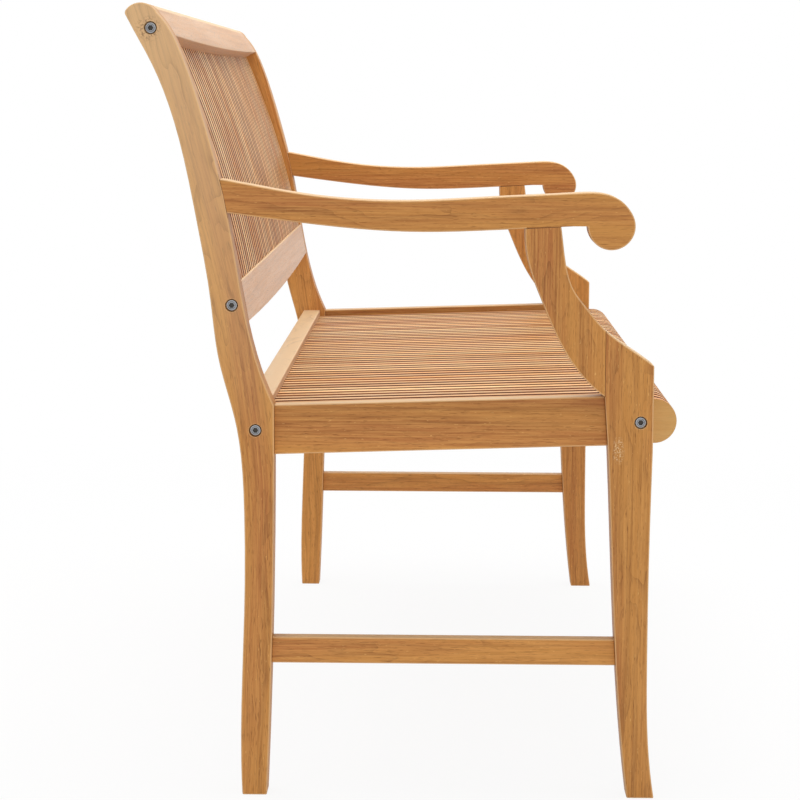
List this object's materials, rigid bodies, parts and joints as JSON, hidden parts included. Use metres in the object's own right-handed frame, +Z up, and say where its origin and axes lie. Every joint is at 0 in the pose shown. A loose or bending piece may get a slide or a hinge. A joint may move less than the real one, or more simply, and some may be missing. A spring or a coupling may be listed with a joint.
{
  "type": "garden bench",
  "caption": "Teak garden bench with swept back posts, scrolled arms, narrow back slats and a slatted seat that rolls over its front edge.",
  "frame": {"origin": "on the floor, under the middle of the bench's box", "axes": "+X along the bench, -Y the way a sitter faces, +Z up"},
  "size_m": [1.22, 0.6183, 0.895],
  "materials": {
    "teak_frame": "oiled satin",
    "teak_rail": "oiled satin",
    "teak_slat": "oiled satin",
    "beech_dowel": "plain",
    "stainless_bolt": "satin",
    "zinc_nut": "satin"
  },
  "bodies": {
    "root": {"back_slats_01": "teak_slat", "back_slats_02": "teak_slat", "back_slats_03": "teak_slat", "back_slats_04": "teak_slat", "back_slats_05": "teak_slat", "back_slats_06": "teak_slat", "back_slats_07": "teak_slat", "back_slats_08": "teak_slat", "back_slats_09": "teak_slat", "back_slats_10": "teak_slat", "back_slats_11": "teak_slat", "back_slats_12": "teak_slat", "crest_rail": "teak_rail", "front_seat_rail": "teak_rail", "left_arm_rest": "teak_frame", "left_arm_support": "teak_frame", "left_barrel_nuts": "zinc_nut", "left_front_leg": "teak_frame", "left_rail_bolts": "stainless_bolt", "left_rail_dowels": "beech_dowel", "left_rear_leg": "teak_frame", "left_side_apron": "teak_frame", "left_side_stretcher": "teak_frame", "left_support_dowels": "beech_dowel", "lower_back_rail": "teak_rail", "rear_seat_rail": "teak_rail", "right_arm_rest": "teak_frame", "right_arm_support": "teak_frame", "right_barrel_nuts": "zinc_nut", "right_front_leg": "teak_frame", "right_rail_bolts": "stainless_bolt", "right_rail_dowels": "beech_dowel", "right_rear_leg": "teak_frame", "right_side_apron": "teak_frame", "right_side_stretcher": "teak_frame", "right_support_dowels": "beech_dowel", "seat_batten": "teak_rail", "seat_slats_01": "teak_slat", "seat_slats_02": "teak_slat", "seat_slats_03": "teak_slat", "seat_slats_04": "teak_slat", "seat_slats_05": "teak_slat", "seat_slats_06": "teak_slat", "seat_slats_07": "teak_slat", "seat_slats_08": "teak_slat", "seat_slats_09": "teak_slat", "seat_slats_10": "teak_slat", "seat_slats_11": "teak_slat", "seat_slats_12": "teak_slat"}
  },
  "joints": []
}
